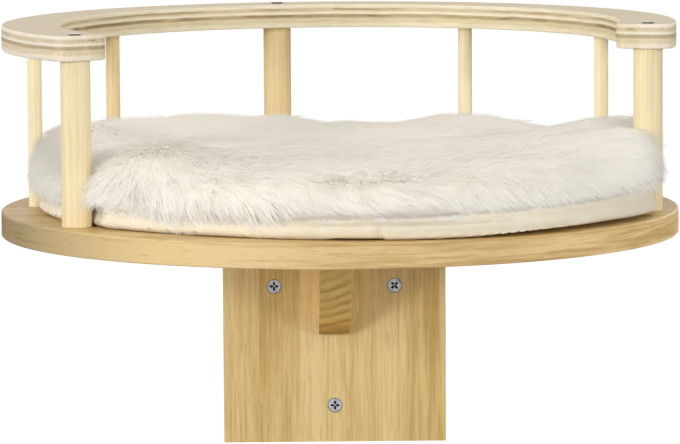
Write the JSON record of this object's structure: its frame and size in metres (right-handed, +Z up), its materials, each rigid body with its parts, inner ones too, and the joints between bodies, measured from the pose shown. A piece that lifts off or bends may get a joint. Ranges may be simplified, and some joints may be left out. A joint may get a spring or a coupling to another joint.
{
  "type": "wall-mounted cat perch",
  "caption": "Round wall-mounted cat perch: board on a wall plate and bracket, with a C-shaped guard rail on turned posts and a loose plush cushion.",
  "frame": {"origin": "middle of the wall plate's back face, on the wall", "axes": "+Y into the wall, so the perch stands out towards -Y; +Z up; +X to the right of someone facing the wall"},
  "size_m": [0.4199, 0.46, 0.294],
  "materials": {
    "oak_board": "light oak face, fine straight grain, satin lacquer",
    "oak_banding": "light oak edge banding, long grain, satin",
    "bracket_timber": "solid softwood cut across its growth rings, clear lacquer",
    "pine_rod": "turned pine, fine straight grain, satin",
    "plywood": "birch-faced plywood, seven plies showing on the edge",
    "zinc": "bright zinc-plated steel",
    "plug_plastic": "grey moulded plastic",
    "hook_and_loop": "dark grey hook and loop tape",
    "cream_cotton": "smooth cream woven cotton",
    "white_plush": "long white plush pile",
    "fibre_filling": "loose polyester fibre filling"
  },
  "bodies": {
    "frame": {"wall_plate": "oak_board", "wall_plate_edge_bands": "oak_banding", "platform": "oak_board", "platform_edge_band": "oak_banding", "support_bracket": "bracket_timber", "plate_bracket_screws": "zinc", "platform_bracket_screws": "zinc", "platform_plate_screws": "zinc", "wall_screw_upper_left": "zinc", "wall_screw_upper_right": "zinc", "wall_screw_lower": "zinc", "wall_plug_upper_left": "plug_plastic", "wall_plug_upper_right": "plug_plastic", "wall_plug_lower": "plug_plastic", "post_back": "pine_rod", "post_front_left": "pine_rod", "post_front_right": "pine_rod", "spindle_back_left": "pine_rod", "spindle_back_right": "pine_rod", "spindle_side_left": "pine_rod", "spindle_side_right": "pine_rod", "post_base_screws": "zinc", "guard_rail": "plywood", "rail_screw_back": "zinc", "rail_screw_front_left": "zinc", "rail_screw_front_right": "zinc", "hook_strips": "hook_and_loop"},
    "cushion": {"loop_strips": "hook_and_loop", "cushion_base_cover": "cream_cotton", "cushion_plush_cover": "white_plush", "cushion_filling": "fibre_filling"}
  },
  "joints": [
    {"name": "cushion_lift", "type": "slide", "parent": "frame", "child": "cushion", "axis": [0, 0, 1], "range_m": [0, 0.04]}
  ]
}
